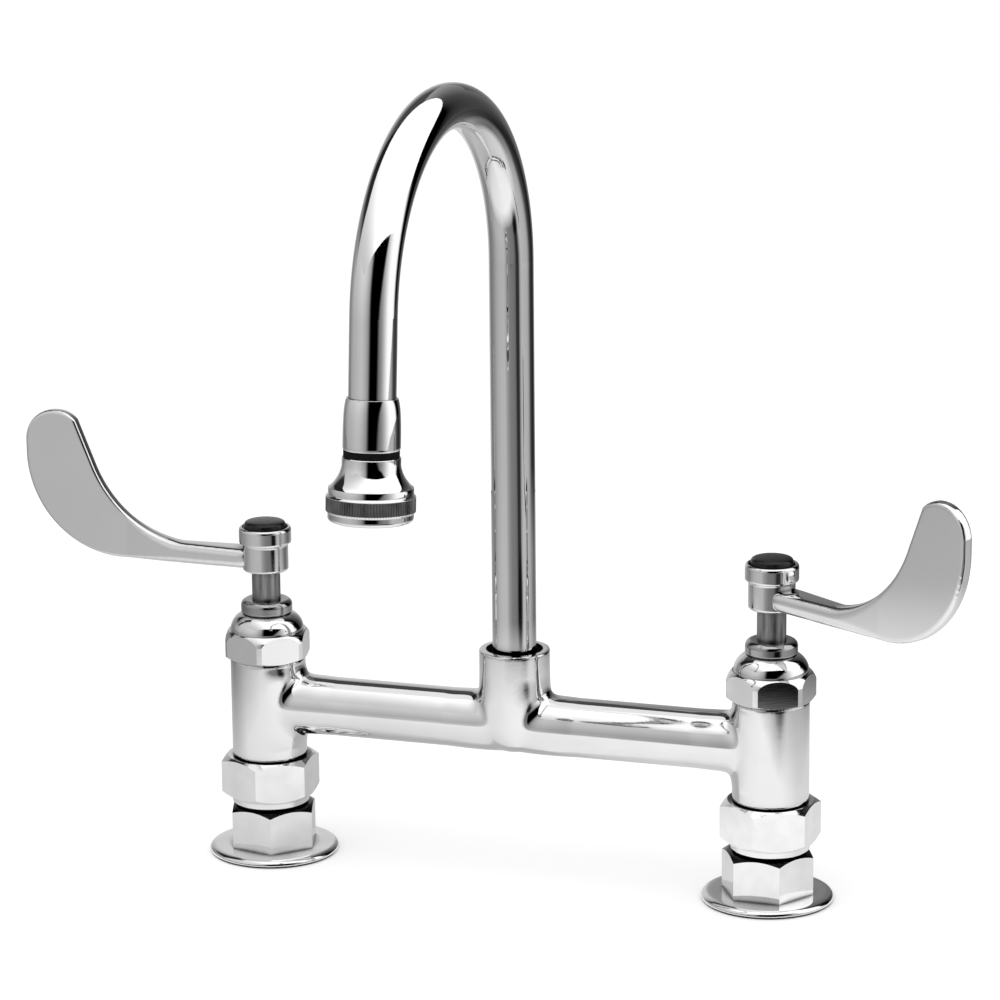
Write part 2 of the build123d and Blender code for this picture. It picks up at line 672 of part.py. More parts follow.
    # Wrist handle: hub, flat arm and upright blade in one forging.
    arm = radians(valve["arm"])
    blade_plane = Plane(
        origin=(x, 0, rise), x_dir=(cos(arm), sin(arm), 0), z_dir=(sin(arm), -cos(arm), 0)
    )
    throat_rise = (cos(radians(throat_slope)), sin(radians(throat_slope)))
    with BuildPart() as handle:
        with BuildSketch(blade_plane):
            with BuildLine():
                under = Line((0, arm_base_height), (heel_start, heel_start_height))
                heel = JernArc(under @ 1, under % 1, heel_radius, 90 + arm_slope)
                outer_edge = Line(heel @ 1, (blade_reach, heel_end_height + blade_straight))
                tip = JernArc(outer_edge @ 1, (0, 1), tip_radius, 90)
                arm_top = Line((0, arm_top_height), (arm_flat_length, arm_top_height))
                throat = JernArc(arm_top @ 1, throat_rise, throat_radius, throat_turn)
                inner_edge = Line(throat @ 1, (tip_inner, blade_tip_height - tip_fall))
                ThreePointArc(
                    tip @ 1,
                    (
                        (blade_reach - tip_radius + tip_inner - tip_crown) / 2,
                        blade_tip_height - tip_crown / 2,
                    ),
                    inner_edge @ 1,
                )
                Line(under @ 0, arm_top @ 0)
            make_face()
        extrude(amount=arm_half_width, both=True)
        with BuildSketch(level(x, 0, valve["arm"])):
            with BuildLine():
                Polyline(
                    (0, -arm_half_width),
                    (taper_length, -blade_half_thickness),
                    (2 * blade_reach, -blade_half_thickness),
                    (2 * blade_reach, blade_half_thickness),
                    (taper_length, blade_half_thickness),
                    (0, arm_half_width),
                    close=True,
                )
            make_face()
        extrude(amount=2 * blade_tip_height, mode=Mode.INTERSECT)
        hub_end = handle.faces().sort_by(Axis(origin=(x, 0, 0), direction=blade_plane.x_dir))[0]
        blade_edges = handle.edges().filter_by(Axis.Z, reverse=True) - hub_end.edges()
        fillet(blade_edges, blade_edge_radius)
        with BuildSketch(upright(x, rise)):
            with BuildLine():
                Polyline(
                    (0, stem_top_height),
                    (hub_radius - hub_foot_chamfer, stem_top_height),
                    (hub_radius, stem_top_height + hub_foot_chamfer),
                    (hub_radius, hub_ring_base - hub_ring_chamfer),
                    (hub_ring_radius - hub_ring_chamfer, hub_ring_base),
                    (hub_ring_radius, hub_ring_base + hub_ring_chamfer),
                    (hub_ring_radius, hub_top_height - hub_top_chamfer),
                    (hub_ring_radius - 0.8 * hub_top_chamfer, hub_top_height),
                    (0, hub_top_height),
                    close=True,
                )
            make_face()
        revolve(axis=valve_axis)
        with BuildSketch(level(x, hub_recess_floor + rise)):
            Circle(button_radius + screwed_fit)
        extrude(amount=hub_top_height - hub_recess_floor, mode=Mode.SUBTRACT)
        with BuildSketch(level(x, stem_top_height + rise, valve["arm"])):
            Rectangle(square_size + 2 * screwed_fit, square_size + 2 * screwed_fit)
        extrude(amount=square_length + bottom_gap, mode=Mode.SUBTRACT)
        with BuildSketch(level(x, hub_recess_floor + rise)):
            Circle(handle_screw_radius + screwed_fit)
        extrude(amount=-(hub_recess_floor - stem_top_height), mode=Mode.SUBTRACT)
    handle.part.label = side + "_handle"
    export_step(handle.part, "parts/" + side + "_handle.step")

    with BuildPart() as handle_screw:
        with BuildSketch(level(x, hub_recess_floor + rise)):
            Circle(handle_head_radius)
        extrude(amount=handle_head_height)
        with BuildSketch(level(x, hub_recess_floor + handle_head_height + rise)):
            Rectangle(2 * handle_head_radius, handle_slot_width)
        extrude(amount=-handle_slot_depth, mode=Mode.SUBTRACT)
        with BuildSketch(level(x, hub_recess_floor + rise)):
            Circle(handle_screw_radius)
        extrude(amount=-handle_screw_length)
    handle_screw.part.label = side + "_handle_screw"
    export_step(handle_screw.part, "parts/" + side + "_handle_screw.step")

    # Index button: a disc in the hub's recess with a low domed top.
    button_base = hub_top_height - button_thickness
    dome_radius = (button_radius**2 + button_dome_height**2) / (2 * button_dome_height)
    with BuildPart() as index_button:
        with BuildSketch(upright(x, rise)):
            with BuildLine():
                Polyline(
                    (0, hub_top_height + button_dome_height),
                    (0, button_base),
                    (button_radius, button_base),
                    (button_radius, hub_top_height),
                )
                RadiusArc(
                    (button_radius, hub_top_height),
                    (0, hub_top_height + button_dome_height),
                    -dome_radius,
                )
            make_face()
        revolve(axis=valve_axis)
    index_button.part.label = side + "_index_button"
    export_step(index_button.part, "parts/" + side + "_index_button.step")

# ================================================================ gooseneck
# All of this turns about the vertical axis of the boss.
spout_plane = Plane(origin=(0, 0, 0), x_dir=spout_out, z_dir=(spout_out[1], -spout_out[0], 0))
with BuildPart() as gooseneck_tube:
    with BuildLine(spout_plane):
        riser = Line((0, tube_foot), (0, spring_height))
        bend = JernArc(riser @ 1, (0, 1), bend_radius, -bend_angle)
        leg = Line(bend @ 1, (bend @ 1) + (bend % 1) * leg_length)
    with BuildSketch(Plane.XY.offset(tube_foot)):
        Circle(tube_radius)
        Circle(tube_bore, mode=Mode.SUBTRACT)
    sweep()
gooseneck_tube.part.label = "gooseneck_tube"
export_step(gooseneck_tube.part, "parts/gooseneck_tube.step")

# Ferrule on the riser's foot, grooved for two sealing rings.
groove_width = 2 * (oring_section + oring_side_gap)
oring_radius = boss_bore_radius - oring_bore_gap - oring_section
groove_floor = oring_radius - oring_section - oring_floor_gap
lower_groove = tube_foot + lower_groove_rise
with BuildPart() as swivel_ferrule:
    with BuildSketch(Plane.XY.offset(tube_foot)):
        Circle(ferrule_radius)
        Circle(tube_socket, mode=Mode.SUBTRACT)
    extrude(amount=ferrule_length)
    for groove in (lower_groove, lower_groove + oring_spacing):
        with BuildSketch(Plane.XY.offset(groove)):
            Circle(boss_bore_radius)
            Circle(groove_floor, mode=Mode.SUBTRACT)
        extrude(amount=groove_width, mode=Mode.SUBTRACT)
swivel_ferrule.part.label = "swivel_ferrule"
export_step(swivel_ferrule.part, "parts/swivel_ferrule.step")

for name, groove in (("lower", lower_groove), ("upper", lower_groove + oring_spacing)):
    with BuildPart() as oring:
        with BuildSketch(Plane.XZ):
            with Locations((oring_radius, groove + groove_width / 2)):
                Circle(oring_section)
        revolve(axis=Axis.Z)
    oring.part.label = name + "_swivel_oring"
    export_step(oring.part, "parts/" + name + "_swivel_oring.step")

# Split ring in the boss that keeps the ferrule from lifting out.
with BuildPart() as retaining_ring:
    with BuildSketch(Plane.XY.offset(ring_base)):
        Circle(boss_bore_radius + ring_groove_depth - screwed_fit)
        Circle(tube_radius + ring_play, mode=Mode.SUBTRACT)
        with Locations((0, boss_radius)):
            Rectangle(ring_mouth, boss_radius, mode=Mode.SUBTRACT)
    extrude(amount=retaining_ring_thickness)
retaining_ring.part.label = "retaining_ring"
export_step(retaining_ring.part, "parts/retaining_ring.step")

# ================================================================ outlet
# Drawn in the plane of the gooseneck and turned about the axis of its leg.
leg_out = sin(radians(leg_tilt))
leg_up = -cos(radians(leg_tilt))
leg_origin = spout_plane.from_local_coords(Vector(leg_start_out, leg_start_up, 0))
leg_direction = spout_plane.from_local_coords(Vector(leg_out, leg_up, 0))
leg_axis = Axis(leg_origin, leg_direction)
side_direction = leg_direction.cross(spout_plane.z_dir)
outlet_plane = Plane(origin=leg_origin, x_dir=side_direction, z_dir=spout_plane.z_dir)


def across(distance):
    """Drawing plane square to the leg, this far below the end of the bend."""
    return Plane(
        origin=leg_origin + leg_direction * distance, x_dir=side_direction, z_dir=leg_direction
    )


# In the outlet plane a point is (radius, distance down the leg).
with BuildPart() as outlet_collar:
    with BuildSketch(outlet_plane):
        with BuildLine():
            Polyline(
                (tube_socket, collar_start),
                (collar_mouth_radius, collar_start),
                (collar_radius - collar_flare_step, collar_start + collar_flare_length),
                (collar_radius, collar_start + collar_flare_length + collar_cone_length),
                (collar_radius, collar_end),
                (collar_spigot_radius, collar_end),
                (collar_spigot_radius, spigot_end),
                (tube_bore, spigot_end),
                (tube_bore, leg_length),
                (tube_socket, leg_length),
                close=True,
            )
        make_face()
    revolve(axis=leg_axis)
outlet_collar.part.label = "outlet_collar"
export_step(outlet_collar.part, "parts/outlet_collar.step")

with BuildPart() as outlet_seal:
    with BuildSketch(across(collar_end)):
        Circle(outlet_seal_radius)
        Circle(spigot_socket, mode=Mode.SUBTRACT)
    extrude(amount=outlet_seal_thickness)
outlet_seal.part.label = "outlet_seal"
export_step(outlet_seal.part, "parts/outlet_seal.step")

# Rose housing: bell-shaped neck, banded rim and a chamber behind the spray plate.
groove_radius = rose_band_radius - rose_groove_depth
groove_length = rose_groove_flank + rose_groove_width
with BuildPart() as rose_housing:
    with BuildSketch(outlet_plane):
        with BuildLine():
            Polyline(
                (spigot_socket, rose_top),
                (rose_neck_radius, rose_top),
                (rose_neck_radius, flare_start),
            )
            ThreePointArc(
                (rose_neck_radius, flare_start),
                (rose_neck_radius + rose_flare_bulge, flare_start + rose_flare_length / 2),
                (rose_shoulder_radius - groove_length, shoulder - groove_length),
            )
            Polyline(
                (rose_shoulder_radius - groove_length, shoulder - groove_length),
                (rose_shoulder_radius, shoulder),
                (groove_radius, band_top - groove_length),
                (groove_radius, band_top - rose_groove_flank),
                (rose_band_radius, band_top),
                (rose_band_radius, band_end),
                (groove_radius, band_end + rose_groove_flank),
                (groove_radius, band_end + groove_length),
                (rose_lip_radius + rose_lip_round, rose_end - rose_lip_round),
                (rose_lip_radius, rose_end),
                (spray_plate_radius + screwed_fit, rose_end),
                (spray_plate_radius + screwed_fit, plate_seat),
                (rose_chamber_radius, plate_seat),
                (rose_chamber_radius, shoulder + rose_chamber_roof),
                (tube_bore, strainer_end + rose_throat_length),
                (tube_bore, strainer_end),
                (spigot_socket, strainer_end),
                (spigot_socket, rose_top),
            )
        make_face()
    revolve(axis=leg_axis)
rose_housing.part.label = "rose_housing"
export_step(rose_housing.part, "parts/rose_housing.step")

with BuildPart() as strainer:
    with BuildSketch(across(spigot_end)):
        Circle(collar_spigot_radius)
        Circle(strainer_hole_radius, mode=Mode.SUBTRACT)
        for ring in (1, 2):
            with PolarLocations(ring * strainer_ring_pitch, 6 * ring):
                Circle(strainer_hole_radius, mode=Mode.SUBTRACT)
    extrude(amount=strainer_thickness)
strainer.part.label = "strainer"
export_step(strainer.part, "parts/strainer.step")

spray_ring_pitch = (spray_plate_radius - spray_margin) / spray_rings
with BuildPart() as spray_plate:
    with BuildSketch(across(plate_seat)):
        Circle(spray_plate_radius)
        Circle(spray_hole_radius, mode=Mode.SUBTRACT)
        for ring in range(1, spray_rings + 1):
            with PolarLocations(ring * spray_ring_pitch, 6 * ring):
                Circle(spray_hole_radius, mode=Mode.SUBTRACT)
    extrude(amount=spray_plate_thickness)
spray_plate.part.label = "spray_plate"
export_step(spray_plate.part, "parts/spray_plate.step")
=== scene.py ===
import json
import math
import bpy
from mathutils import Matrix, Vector

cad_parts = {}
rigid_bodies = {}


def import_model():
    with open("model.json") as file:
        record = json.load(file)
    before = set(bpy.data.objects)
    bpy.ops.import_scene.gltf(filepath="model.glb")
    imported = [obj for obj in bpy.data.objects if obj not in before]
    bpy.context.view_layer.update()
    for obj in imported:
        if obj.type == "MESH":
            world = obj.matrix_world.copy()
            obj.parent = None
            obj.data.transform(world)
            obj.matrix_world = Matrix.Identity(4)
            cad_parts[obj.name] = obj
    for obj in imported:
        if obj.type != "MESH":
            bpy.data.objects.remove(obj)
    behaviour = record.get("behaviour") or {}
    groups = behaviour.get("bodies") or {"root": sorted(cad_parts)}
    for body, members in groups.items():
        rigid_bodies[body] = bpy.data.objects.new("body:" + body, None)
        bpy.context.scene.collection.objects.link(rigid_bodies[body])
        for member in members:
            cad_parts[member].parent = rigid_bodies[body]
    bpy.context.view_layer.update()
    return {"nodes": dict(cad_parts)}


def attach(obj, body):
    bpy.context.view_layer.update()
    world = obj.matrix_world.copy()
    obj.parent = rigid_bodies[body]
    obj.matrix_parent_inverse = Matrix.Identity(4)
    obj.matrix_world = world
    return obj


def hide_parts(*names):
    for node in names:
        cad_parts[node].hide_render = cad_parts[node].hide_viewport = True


bpy.ops.object.select_all(action="SELECT")
bpy.ops.object.delete()
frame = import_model()
nodes = frame["nodes"]
bpy.ops.object.select_all(action="DESELECT")
print("faucet frame loaded,", len(nodes), "nodes")

mm = 0.001  # profiles, and the sizes of the inlets and the casting, are written in millimetres
noiseLow, noiseHigh = 0.3, 0.7  # nearly all of a noise lies between these

cameraSettings = {
    "place": (0.4827, -1.4815, 0.5498),
    "turn": (75.593, 0.527, 18.096),  # degrees
    "lens": 152.3,
    "sensor": 36.0,
}
cameraData = bpy.data.cameras.new("photoCamera")
cameraData.lens = cameraSettings["lens"]
cameraData.sensor_width = cameraSettings["sensor"]
photoCamera = bpy.data.objects.new("photoCamera", cameraData)
photoCamera.location = cameraSettings["place"]
photoCamera.rotation_euler = [math.radians(a) for a in cameraSettings["turn"]]
bpy.context.scene.collection.objects.link(photoCamera)
bpy.context.scene.camera = photoCamera
bpy.context.scene.view_settings.view_transform = "Standard"
print("camera placed")


def fed(tree, value, socket):
    # another node's output is linked in, a plain number or colour is set
    if isinstance(value, bpy.types.NodeSocket):
        tree.links.new(value, socket)
    else:
        socket.default_value = value


def newMaterial(name):
    material = bpy.data.materials.new(name)
    material.use_nodes = True
    tree = material.node_tree
    spot = tree.nodes.new("ShaderNodeTexCoord").outputs["Object"]
    return material, tree, tree.nodes["Principled BSDF"], spot


def stretched(tree, source, scale=(1, 1, 1), turn=(0, 0, 0)):
    mapping = tree.nodes.new("ShaderNodeMapping")
    mapping.inputs["Scale"].default_value = scale
    mapping.inputs["Rotation"].default_value = turn
    tree.links.new(source, mapping.inputs["Vector"])
    return mapping.outputs["Vector"]


def noise(tree, source, scale, detail, roughness=0.5):
    cloud = tree.nodes.new("ShaderNodeTexNoise")
    cloud.inputs["Scale"].default_value = scale
    cloud.inputs["Detail"].default_value = detail
    cloud.inputs["Roughness"].default_value = roughness
    tree.links.new(source, cloud.inputs["Vector"])
    return cloud.outputs["Fac"]


def ranged(tree, source, low, high, fromLow=noiseLow, fromHigh=noiseHigh):
    span = tree.nodes.new("ShaderNodeMapRange")
    span.inputs["From Min"].default_value = fromLow
    span.inputs["From Max"].default_value = fromHigh
    span.inputs["To Min"].default_value = low
    span.inputs["To Max"].default_value = high
    tree.links.new(source, span.inputs["Value"])
    return span.outputs["Result"]


def toned(tree, source, stops):
    # stops of (place, grey) or (place, colour)
    ramp = tree.nodes.new("ShaderNodeValToRGB")
    band = ramp.color_ramp
    while len(band.elements) < len(stops):
        band.elements.new(0.5)
    for element, (place, level) in zip(band.elements, stops):
        colour = level if isinstance(level, tuple) else (level, level, level)
        element.position = place
        element.color = (*colour, 1.0)
    tree.links.new(source, ramp.inputs["Fac"])
    return ramp.outputs["Color"]


def clouded(tree, cloud, settings):
    return toned(tree, cloud, [(noiseLow, settings["darkTone"]), (noiseHigh, settings["lightTone"])])


def combined(tree, operation, first, second):
    node = tree.nodes.new("ShaderNodeMath")
    node.operation = operation
    fed(tree, first, node.inputs[0])
    fed(tree, second, node.inputs[1])
    return node.outputs[0]


def measured(tree, operation, spot, other=(0, 0, 0)):
    gauge = tree.nodes.new("ShaderNodeVectorMath")
    gauge.operation = operation
    gauge.inputs[1].default_value = other
    tree.links.new(spot, gauge.inputs[0])
    return gauge.outputs["Value"]


def axisOf(tree, vector, axis):
    parts = tree.nodes.new("ShaderNodeSeparateXYZ")
    tree.links.new(vector, parts.inputs["Vector"])
    return parts.outputs[axis]


def mixed(tree, share, first, second, kind="RGBA", way="MIX"):
    mix = tree.nodes.new("ShaderNodeMix")
    mix.data_type = kind
    mix.blend_type = way
    fed(tree, share, mix.inputs["Factor"])
    fed(tree, first, mix.inputs["A"])
    fed(tree, second, mix.inputs["B"])
    return mix.outputs["Result"]


def multiplied(tree, first, second):
    return mixed(tree, 1.0, first, second, way="MULTIPLY")


def bumped(tree, height, strength, depth, under=None):
    bump = tree.nodes.new("ShaderNodeBump")
    bump.inputs["Strength"].default_value = strength
    bump.inputs["Distance"].default_value = depth
    tree.links.new(height, bump.inputs["Height"])
    if under:
        tree.links.new(under, bump.inputs["Normal"])
    return bump.outputs["Normal"]


def paintedCloseShade(tree, tone, paintedShade):
    # painted shade: the colour is darkened where another surface stands close
    closeBy = tree.nodes.new("ShaderNodeAmbientOcclusion")
    closeBy.samples = paintedShade["samples"]
    closeBy.inputs["Distance"].default_value = paintedShade["reach"]
    return multiplied(tree, tone, toned(tree, closeBy.outputs["AO"], paintedShade["tones"]))


def shadedAbove(tree, tone, spot, settings):
    # faces that look up, higher than a given place, lie in the shade of the piece over them
    normal = spot.node.outputs["Normal"]
    high = combined(tree, "GREATER_THAN", axisOf(tree, spot, "Z"), settings["above"])
    upward = combined(tree, "GREATER_THAN", axisOf(tree, normal, "Z"), settings["facing"])
    inShade = combined(tree, "MULTIPLY", high, upward)
    return multiplied(tree, tone, toned(tree, inShade, [(0.0, 1.0), (1.0, settings["tone"])]))


def makeChrome(name, settings):
    material, tree, shader, spot = newMaterial(name)
    shader.inputs["Metallic"].default_value = 1.0
    cloudPlace = stretched(tree, spot, settings["stretch"])
    grainPlace = stretched(tree, spot, settings["grainStretch"])
    cloud = noise(tree, cloudPlace, settings["cloudScale"], settings["cloudDetail"])
    grain = noise(
        tree, grainPlace, settings["grainScale"], settings["grainDetail"], settings["grainRoughness"])
    tone = clouded(tree, cloud, settings)
    if "shadedTop" in settings:
        tone = shadedAbove(tree, tone, spot, settings["shadedTop"])
    wave = bumped(tree, cloud, settings["wave"], settings["waveDepth"])
    fine = bumped(tree, grain, settings["fine"], settings["fineDepth"], wave)
    # the base colour carries painted shade where other surfaces stand close
    tree.links.new(paintedCloseShade(tree, tone, settings["paintedShade"]), shader.inputs["Base Color"])
    tree.links.new(ranged(tree, grain, *settings["gloss"]), shader.inputs["Roughness"])
    tree.links.new(fine, shader.inputs["Normal"])
    return material


# what the metals share: a soft cloud in the plating, a finer polish grain, and painted shade in the
# crevices
polish = {
    "stretch": (1, 1, 1), "cloudDetail": 4.0, "waveDepth": 0.0004,
    "grainStretch": (1, 1, 1), "grainDetail": 3.0, "grainRoughness": 0.6, "fineDepth": 0.00005,
    "paintedShade": {"samples": 6, "reach": 0.007, "tones": [(0.25, 0.06), (0.55, 0.6), (0.8, 1.0)]},
}
hexFinish = dict(
    polish, cloudScale=120, grainStretch=(1, 1, 0.2), grainScale=900,
    darkTone=0.80, lightTone=0.88, gloss=(0.05, 0.12), wave=0.08, fine=0.15,
    # deeper, wider-reaching painted shade for the hexes
    paintedShade={
        "samples": 16, "reach": 0.014, "tones": [(0.4, 0.01), (0.5, 0.15), (0.56, 0.75), (0.62, 1.0)],
    },
)
metalFinishes = {
    "tubeChrome": dict(
        polish, cloudScale=30, grainStretch=(1, 1, 0.15), grainScale=900,
        darkTone=0.77, lightTone=0.80, gloss=(0.02, 0.05), wave=0.02, fine=0.05,
    ),
    "castChrome": dict(
        polish, cloudScale=60, grainScale=700,
        darkTone=0.76, lightTone=0.80, gloss=(0.03, 0.07), wave=0.06, fine=0.08,
    ),
    "turnedChrome": dict(
        polish, cloudScale=50, grainStretch=(0.3, 0.3, 6), grainScale=500,
        darkTone=0.74, lightTone=0.80, gloss=(0.03, 0.07), wave=0.03, fine=0.08,
    ),
    "hexChrome": hexFinish,
    "inletChrome": dict(hexFinish, shadedTop={"above": 0.0172, "facing": 0.5, "tone": 0.012}),
    # painted shade: the packing nuts' chrome is toned far darker, for the dark their walls reflect
    "shadedNutChrome": dict(
        polish, cloudScale=90, grainStretch=(0.3, 0.3, 6), grainScale=500,
        darkTone=0.34, lightTone=0.44, gloss=(0.04, 0.08), wave=0.05, fine=0.1,
    ),
    "handleChrome": dict(
        polish, cloudScale=25, grainScale=1200,
        darkTone=0.76, lightTone=0.79, gloss=(0.05, 0.09), wave=0.03, fine=0.05,
    ),
    "stemMetal": dict(
        polish, stretch=(1, 1, 0.08), cloudScale=500, grainStretch=(1, 1, 0.05), grainScale=1600,
        darkTone=0.12, lightTone=0.45, gloss=(0.25, 0.4), wave=0.1, fine=0.3,
    ),
    "brass": dict(
        polish, cloudScale=150, grainStretch=(0.3, 0.3, 5), grainScale=900,
        darkTone=(0.55, 0.36, 0.14), lightTone=(0.78, 0.57, 0.27), gloss=(0.2, 0.35), wave=0.05, fine=0.2,
    ),
}
plainFinishes = {
    "buttonPlastic": {
        "cloudScale": 600, "cloudDetail": 4.0, "darkTone": 0.005, "lightTone": 0.012,
        "gloss": (0.15, 0.3), "fine": 0.15, "fineDepth": 0.0001, "shine": 0.3,
    },
    "sealRubber": {
        "cloudScale": 900, "cloudDetail": 4.0, "darkTone": 0.004, "lightTone": 0.01,
        "gloss": (0.5, 0.7), "fine": 0.2, "fineDepth": 0.0001, "shine": 0.06,
    },
}


def makePlain(name, settings):
    material, tree, shader, spot = newMaterial(name)
    cloud = noise(tree, spot, settings["cloudScale"], settings["cloudDetail"])
    tree.links.new(clouded(tree, cloud, settings), shader.inputs["Base Color"])
    tree.links.new(ranged(tree, cloud, *settings["gloss"]), shader.inputs["Roughness"])
    tree.links.new(bumped(tree, cloud, settings["fine"], settings["fineDepth"]), shader.inputs["Normal"])
    shader.inputs["Specular IOR Level"].default_value = settings["shine"]
    return material


finishes = {name: makeChrome(name, settings) for name, settings in metalFinishes.items()}
finishes.update({name: makePlain(name, settings) for name, settings in plainFinishes.items()})

finishedIn = {  # what isn't named here is brass
    "castChrome": ["bridge_body"],
    "tubeChrome": ["gooseneck_tube", "outlet_collar"],
    "turnedChrome": ["rose_housing", "bonnet"],
    "shadedNutChrome": ["packing_nut"],
    "inletChrome": ["inlet_fitting"],
    "hexChrome": ["coupling_nut"],
    "handleChrome": ["handle"],
    "stemMetal": ["spindle", "handle_screw", "retaining_ring", "strainer", "spray_plate"],
    "buttonPlastic": ["index_button"],
    "sealRubber": [
        "outlet_seal", "stem_packing", "seat_washer", "union_washer",
        "lower_swivel_oring", "upper_swivel_oring",
    ],
}
finishOf = {part: finishes[finish] for finish, parts in finishedIn.items() for part in parts}
for name, node in nodes.items():
    part = name.removeprefix("hot_").removeprefix("cold_")
    node.material_slots[0].material = finishOf.get(part, finishes["brass"])
print("finishes set")


def chosen(piece, *others):
    # only these are selected, and the first is the active one
    bpy.ops.object.select_all(action="DESELECT")
    for each in (piece, *others):
        each.select_set(True)
    bpy.context.view_layer.objects.active = piece


def setDown(piece, place, turn=(0, 0, 0)):
    piece.location = place
    piece.rotation_euler = turn
    chosen(piece)
    bpy.ops.object.transform_apply(location=True, rotation=True, scale=True)


lathe = {"steps": 96, "mergeWithin": 0.00001}


def turnedPiece(name, rings, steps=lathe["steps"], down=False):
    # rings of (radius, height) in millimetres are drawn up, or down, from a first disc, as on a lathe
    rings = [(radius * mm, (-rise if down else rise) * mm) for radius, rise in rings]
    radius, rise = rings[0]
    bpy.ops.object.select_all(action="DESELECT")
    bpy.ops.mesh.primitive_circle_add(
        vertices=steps, radius=radius, fill_type="NGON", location=(0, 0, rise))
    piece = bpy.context.active_object
    piece.name = name
    bpy.ops.object.transform_apply(location=True)
    bpy.ops.object.mode_set(mode="EDIT")
    bpy.ops.mesh.select_all(action="SELECT")
    for (lastRadius, lastRise), (radius, rise) in zip(rings, rings[1:]):
        bpy.ops.mesh.extrude_region_move(TRANSFORM_OT_translate={"value": (0, 0, rise - lastRise)})
        share = radius / lastRadius
        bpy.ops.transform.resize(value=(share, share, 1), center_override=(0, 0, rise))
    if rings[0] == rings[-1]:
        # a ring: both end discs go and the profile closes on itself
        bpy.ops.object.mode_set(mode="OBJECT")
        for face in piece.data.polygons:
            face.select = len(face.vertices) > 4
        bpy.ops.object.mode_set(mode="EDIT")
        bpy.ops.mesh.select_mode(type="FACE")
        bpy.ops.mesh.delete(type="ONLY_FACE")
        bpy.ops.mesh.select_mode(type="VERT")
        bpy.ops.mesh.select_all(action="SELECT")
        bpy.ops.mesh.remove_doubles(threshold=lathe["mergeWithin"])
    bpy.ops.mesh.select_all(action="SELECT")
    bpy.ops.mesh.normals_make_consistent(inside=False)
    bpy.ops.mesh.select_all(action="DESELECT")
    bpy.ops.object.mode_set(mode="OBJECT")
    return piece


def finished(piece, node, body, finish, creaseOver):
    # the piece stands for a CAD node, and its edges are crisp over so many degrees
    piece.data.materials.clear()
    piece.data.materials.append(finish)
    chosen(piece)
    bpy.ops.object.shade_smooth_by_angle(angle=math.radians(creaseOver))
    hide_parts(node)
    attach(piece, body)


def mergedCopy(name, node, mergeWithin=0.000001):
    piece = bpy.data.objects.new(name, node.data.copy())
    bpy.context.scene.collection.objects.link(piece)
    chosen(piece)
    bpy.ops.mesh.customdata_custom_splitnormals_clear()
    bpy.ops.object.mode_set(mode="EDIT")
    bpy.ops.mesh.select_all(action="SELECT")
    bpy.ops.mesh.remove_doubles(threshold=mergeWithin)
    bpy.ops.mesh.select_all(action="DESELECT")
    bpy.ops.object.mode_set(mode="OBJECT")
    return piece


def joined(name, parts):
    chosen(*parts)
    bpy.ops.object.join()
    parts[0].name = name
    return parts[0]


def applied(piece, kind, **settings):
    modifier = piece.modifiers.new(kind.title(), kind)
    for key, value in settings.items():
        setattr(modifier, key, value)
    bpy.context.view_layer.objects.active = piece
    bpy.ops.object.modifier_apply(modifier=modifier.name)


def evened(piece, times, group="", factor=0.5):
    applied(piece, "SMOOTH", factor=factor, iterations=times, vertex_group=group)


def resurfaced(piece, voxel):
    bpy.context.view_layer.objects.active = piece
    piece.data.remesh_voxel_size = voxel
    piece.data.remesh_voxel_adaptivity = 0.0
    bpy.ops.object.voxel_remesh()


def weighted(piece, name, weightOf):
    group = piece.vertex_groups.new(name=name)
    shares = {}
    for vertex in piece.data.vertices:
        share = round(max(0.0, min(1.0, weightOf(vertex.co))), 2)
        if share:
            shares.setdefault(share, []).append(vertex.index)
    for share, places in shares.items():
        group.add(places, share, "REPLACE")
    return name


def eased(value, start, end):
    # 0 before start, 1 past end, and a soft step between them
    share = max(0.0, min(1.0, (value - start) / (end - start)))
    return share * share * (3 - 2 * share)


rose = {
    "top": (-0.00632, -0.139176, 0.198996),  # the end of the gooseneck, in metres
    "down": (-0.00364, -0.08012, -0.99678),  # the way the rose points
    "rings": [
        (9.0, 0.0), (10.2, 0.0), (10.4, 0.2), (10.4, 3.0), (10.6, 3.9), (10.85, 4.8), (11.2, 5.8),
        (11.6, 6.6), (12.05, 7.4), (12.6, 8.2), (13.2, 9.0), (13.8, 9.7), (14.5, 10.3), (14.95, 10.6),
        (15.05, 10.9), (15.05, 12.9), (15.2, 13.2), (15.6, 13.5), (15.8, 13.7), (15.8, 13.9),
        (15.8, 18.8), (15.8, 19.0), (15.6, 19.2), (15.1, 19.7), (15.1, 21.2), (15.1, 21.4),
        (14.95, 21.8), (14.7, 22.2), (14.2, 22.6), (13.6, 22.85), (13.25, 22.9), (13.1, 22.8),
        (13.05, 22.5), (13.05, 18.5), (11.0, 18.5),
    ],
    "band": (13.9, 18.8),
    "bandInside": 15.5,
    "ribs": 96,
    "stepsPerRib": 4,
    "ribDepth": 0.00016,
    "bandLook": {
        "edge": 0.0001, "stretch": (1, 1, 0.4), "cloudScale": 260, "cloudDetail": 4.0,
        "darkTone": 0.10, "lightTone": 0.24, "gloss": (0.22, 0.4),
    },
    "creaseOver": 25,
}


